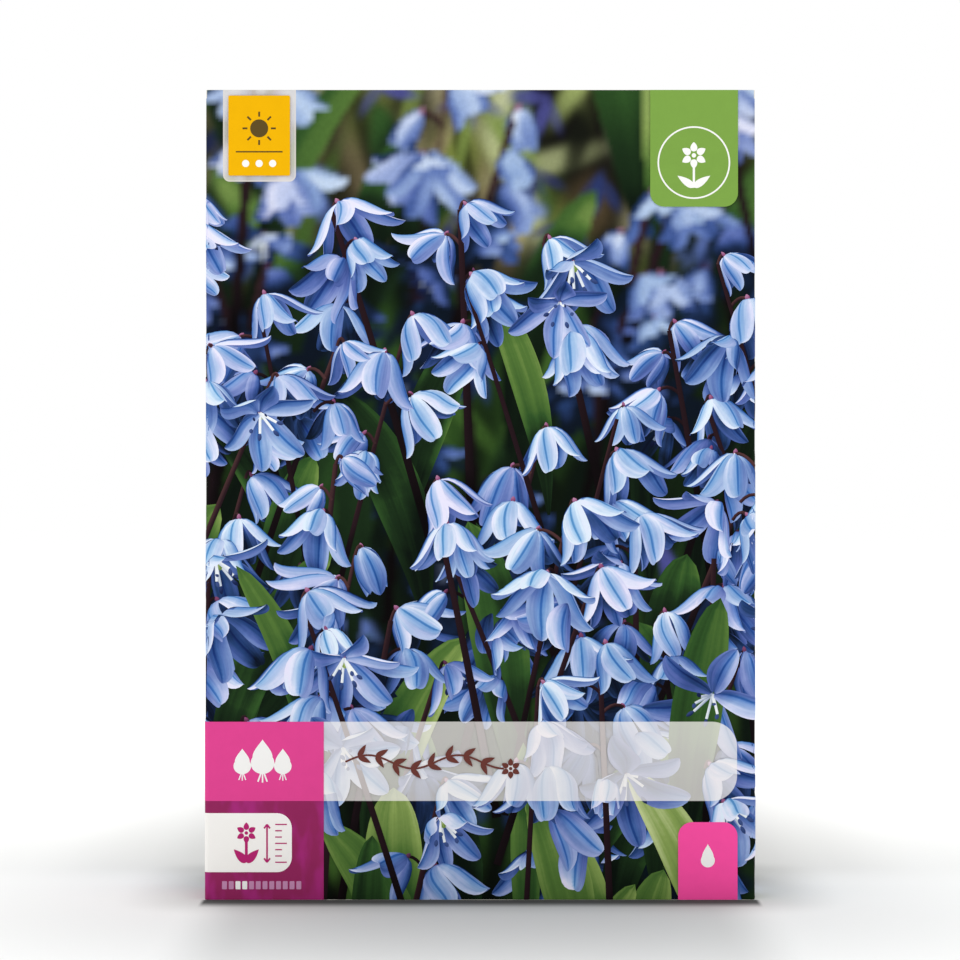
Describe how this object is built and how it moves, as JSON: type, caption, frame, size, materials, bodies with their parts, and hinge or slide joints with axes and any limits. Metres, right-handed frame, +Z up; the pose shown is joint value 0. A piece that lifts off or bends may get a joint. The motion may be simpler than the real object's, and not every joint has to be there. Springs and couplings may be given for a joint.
{
  "type": "flower bulb carton",
  "caption": "Upright printed folding carton for flower bulbs, with a hinged tuck-in lid, dust flaps and loose small squill bulbs inside.",
  "frame": {"origin": "middle of the base, on the surface that the carton stands on", "axes": "+Z up, -Y out of the printed front, +X to the right seen from the front"},
  "size_m": [0.122, 0.04, 0.18],
  "materials": {
    "printed_board": "coated folding board, printed in full colour, satin",
    "bare_board": "unprinted greyish white folding board, matt",
    "bulb_tunic": "dry papery purple-brown bulb skin, satin"
  },
  "bodies": {
    "carton": {"sleeve": "printed_board", "bottom_outer_panel": "printed_board", "bottom_inner_panel": "bare_board", "bottom_flap_left": "bare_board", "bottom_flap_right": "bare_board", "bulb_01": "bulb_tunic", "bulb_02": "bulb_tunic", "bulb_03": "bulb_tunic", "bulb_04": "bulb_tunic", "bulb_05": "bulb_tunic", "bulb_06": "bulb_tunic", "bulb_07": "bulb_tunic", "bulb_08": "bulb_tunic", "bulb_09": "bulb_tunic", "bulb_10": "bulb_tunic", "bulb_11": "bulb_tunic", "bulb_12": "bulb_tunic", "bulb_13": "bulb_tunic", "bulb_14": "bulb_tunic", "bulb_15": "bulb_tunic", "bulb_16": "bulb_tunic", "bulb_17": "bulb_tunic", "bulb_18": "bulb_tunic", "bulb_19": "bulb_tunic", "bulb_20": "bulb_tunic", "bulb_21": "bulb_tunic", "bulb_22": "bulb_tunic", "bulb_23": "bulb_tunic", "bulb_24": "bulb_tunic", "bulb_25": "bulb_tunic", "bulb_26": "bulb_tunic", "bulb_27": "bulb_tunic", "bulb_28": "bulb_tunic", "bulb_29": "bulb_tunic", "bulb_30": "bulb_tunic", "bulb_31": "bulb_tunic", "bulb_32": "bulb_tunic", "bulb_33": "bulb_tunic", "bulb_34": "bulb_tunic", "bulb_35": "bulb_tunic", "bulb_36": "bulb_tunic", "bulb_37": "bulb_tunic", "bulb_38": "bulb_tunic", "bulb_39": "bulb_tunic", "bulb_40": "bulb_tunic", "bulb_41": "bulb_tunic", "bulb_42": "bulb_tunic", "bulb_43": "bulb_tunic", "bulb_44": "bulb_tunic", "bulb_45": "bulb_tunic", "bulb_46": "bulb_tunic", "bulb_47": "bulb_tunic", "bulb_48": "bulb_tunic", "bulb_49": "bulb_tunic", "bulb_50": "bulb_tunic"},
    "lid": {"lid": "printed_board"},
    "dust_flap_left": {"dust_flap_left": "bare_board"},
    "dust_flap_right": {"dust_flap_right": "bare_board"}
  },
  "joints": [
    {"name": "lid_hinge", "type": "hinge", "parent": "carton", "child": "lid", "pos_m": [0, 0.02, 0.1797], "axis": [-1, 0, 0], "range_deg": [0, 180]},
    {"name": "dust_flap_left_hinge", "type": "hinge", "parent": "carton", "child": "dust_flap_left", "pos_m": [-0.061, 0, 0.1788], "axis": [0, -1, 0], "range_deg": [0, 108]},
    {"name": "dust_flap_right_hinge", "type": "hinge", "parent": "carton", "child": "dust_flap_right", "pos_m": [0.061, 0, 0.1788], "axis": [0, 1, 0], "range_deg": [0, 108]}
  ],
  "couplings": [
    {"joint": "dust_flap_left_hinge", "follows": "lid_hinge", "ratio": 0.6},
    {"joint": "dust_flap_right_hinge", "follows": "lid_hinge", "ratio": 0.6}
  ]
}
